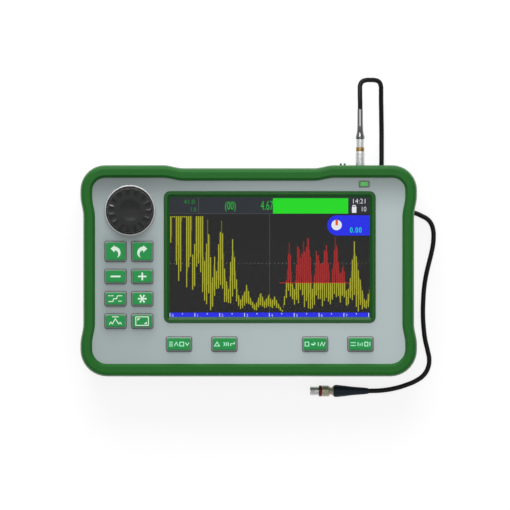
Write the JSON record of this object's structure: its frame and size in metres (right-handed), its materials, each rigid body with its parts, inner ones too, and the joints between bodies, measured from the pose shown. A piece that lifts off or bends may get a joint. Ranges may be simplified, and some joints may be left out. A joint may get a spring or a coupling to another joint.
{
  "type": "ultrasonic case depth tester",
  "caption": "Hand-held ultrasonic case depth tester in a green rubber bumper, with screen, keys, encoder knob, tilt stand and a plugged-in coaxial lead.",
  "frame": {"origin": "middle of the case's footprint, on the table that it lies on", "axes": "+X to the right of the screen, +Y towards the sockets, +Z out of the screen"},
  "size_m": [0.2207, 0.1983, 0.0559],
  "materials": {
    "bumper_rubber": "satin moulded green rubber",
    "case_plastic": "fine matt grey plastic",
    "rim_plastic": "satin green plastic",
    "key_plastic": "green key tops on grey caps",
    "window_clear": "clear hard-coated window",
    "display": "lit colour display",
    "knob_black": "matt black plastic",
    "collar_metal": "turned and polished",
    "steel": "plain steel",
    "plug_metal": "nickel plate",
    "brass_ring": "plain brass",
    "old_nickel": "worn nickel plate",
    "ring_red": "dark red ring",
    "black_rubber": "matt black rubber",
    "boot_navy": "satin dark blue rubber",
    "white_insulator": "white insulator",
    "silicone": "pale silicone",
    "board": "green circuit board",
    "battery_wrap": "shrink wrap",
    "contact_brass": "gold plated contacts",
    "light_green": "lit green lens",
    "light_frame": "dark frame",
    "port_black": "black moulding"
  },
  "bodies": {
    "case": {"front_shell": "case_plastic", "rear_shell": "case_plastic", "bumper": "bumper_rubber", "case_gasket": "black_rubber", "case_screws": "steel", "feet": "black_rubber", "screen_frame": "rim_plastic", "screen_window": "window_clear", "lcd_cell": "display", "lcd_housing": "steel", "keypad_mat": "silicone", "keypad_board": "board", "main_board": "board", "board_spacers": "steel", "pulser_board": "board", "io_board": "board", "battery_pack": "battery_wrap", "battery_contacts": "contact_brass", "door_pin": "steel", "stand_pin": "steel", "knob_collar": "collar_metal", "encoder_body": "steel", "led_bezel": "light_frame", "status_light": "light_green", "probe_socket": "plug_metal", "spare_socket": "plug_metal", "socket_nuts": "plug_metal", "socket_inserts": "white_insulator", "charge_socket": "port_black", "usb_socket": "steel", "flap_pin": "steel", "top_plug": "plug_metal", "top_plug_ring": "brass_ring", "top_boot": "black_rubber", "lead": "black_rubber", "end_boot": "boot_navy", "end_plug": "old_nickel", "end_plug_ring": "ring_red", "end_plug_sleeve": "plug_metal", "end_plug_insert": "white_insulator"},
    "key_undo_cap": {"key_undo": "key_plastic"},
    "key_redo_cap": {"key_redo": "key_plastic"},
    "key_minus_cap": {"key_minus": "key_plastic"},
    "key_plus_cap": {"key_plus": "key_plastic"},
    "key_gate_cap": {"key_gate": "key_plastic"},
    "key_freeze_cap": {"key_freeze": "key_plastic"},
    "key_peak_cap": {"key_peak": "key_plastic"},
    "key_zoom_cap": {"key_zoom": "key_plastic"},
    "soft_key_1_cap": {"soft_key_1": "key_plastic"},
    "soft_key_2_cap": {"soft_key_2": "key_plastic"},
    "soft_key_3_cap": {"soft_key_3": "key_plastic"},
    "soft_key_4_cap": {"soft_key_4": "key_plastic"},
    "power_button": {"power_key": "bumper_rubber"},
    "push_switch": {"encoder_plunger": "white_insulator"},
    "dial": {"knob": "knob_black", "knob_shaft": "steel"},
    "door": {"battery_door": "case_plastic"},
    "coin_screw": {"door_screw": "steel"},
    "stand": {"tilt_stand": "case_plastic"},
    "flap": {"port_flap": "bumper_rubber"}
  },
  "joints": [
    {"name": "key_undo_press", "type": "slide", "parent": "case", "child": "key_undo_cap", "axis": [0, 0, -1], "range_m": [0, 0.001], "stiffness_N_per_m": 800},
    {"name": "key_redo_press", "type": "slide", "parent": "case", "child": "key_redo_cap", "axis": [0, 0, -1], "range_m": [0, 0.001], "stiffness_N_per_m": 800},
    {"name": "key_minus_press", "type": "slide", "parent": "case", "child": "key_minus_cap", "axis": [0, 0, -1], "range_m": [0, 0.001], "stiffness_N_per_m": 800},
    {"name": "key_plus_press", "type": "slide", "parent": "case", "child": "key_plus_cap", "axis": [0, 0, -1], "range_m": [0, 0.001], "stiffness_N_per_m": 800},
    {"name": "key_gate_press", "type": "slide", "parent": "case", "child": "key_gate_cap", "axis": [0, 0, -1], "range_m": [0, 0.001], "stiffness_N_per_m": 800},
    {"name": "key_freeze_press", "type": "slide", "parent": "case", "child": "key_freeze_cap", "axis": [0, 0, -1], "range_m": [0, 0.001], "stiffness_N_per_m": 800},
    {"name": "key_peak_press", "type": "slide", "parent": "case", "child": "key_peak_cap", "axis": [0, 0, -1], "range_m": [0, 0.001], "stiffness_N_per_m": 800},
    {"name": "key_zoom_press", "type": "slide", "parent": "case", "child": "key_zoom_cap", "axis": [0, 0, -1], "range_m": [0, 0.001], "stiffness_N_per_m": 800},
    {"name": "soft_key_1_press", "type": "slide", "parent": "case", "child": "soft_key_1_cap", "axis": [0, 0, -1], "range_m": [0, 0.001], "stiffness_N_per_m": 800},
    {"name": "soft_key_2_press", "type": "slide", "parent": "case", "child": "soft_key_2_cap", "axis": [0, 0, -1], "range_m": [0, 0.001], "stiffness_N_per_m": 800},
    {"name": "soft_key_3_press", "type": "slide", "parent": "case", "child": "soft_key_3_cap", "axis": [0, 0, -1], "range_m": [0, 0.001], "stiffness_N_per_m": 800},
    {"name": "soft_key_4_press", "type": "slide", "parent": "case", "child": "soft_key_4_cap", "axis": [0, 0, -1], "range_m": [0, 0.001], "stiffness_N_per_m": 800},
    {"name": "power_press", "type": "slide", "parent": "case", "child": "power_button", "axis": [0, -1, 0], "range_m": [0, 0.0008], "stiffness_N_per_m": 1200},
    {"name": "knob_press", "type": "slide", "parent": "case", "child": "push_switch", "axis": [0, 0, -1], "range_m": [0, 0.0006], "stiffness_N_per_m": 4000},
    {"name": "knob_turn", "type": "hinge", "parent": "push_switch", "child": "dial", "pos_m": [-0.0738, 0.0375, 0.05], "axis": [0, 0, -1], "continuous": true},
    {"name": "door_swing", "type": "hinge", "parent": "case", "child": "door", "pos_m": [0, -0.0516, 0.0059], "axis": [-1, 0, 0], "range_deg": [0, 100]},
    {"name": "coin_screw_turn", "type": "hinge", "parent": "door", "child": "coin_screw", "pos_m": [0, -0.01295, 0.0046], "axis": [0, 0, -1], "range_deg": [0, 90]},
    {"name": "stand_swing", "type": "hinge", "parent": "case", "child": "stand", "pos_m": [0, 0.0475, 0.0059], "axis": [1, 0, 0], "range_deg": [0, 65]},
    {"name": "flap_swing", "type": "hinge", "parent": "case", "child": "flap", "pos_m": [-0.1013, 0, 0.0208], "axis": [0, -1, 0], "range_deg": [0, 90]}
  ]
}
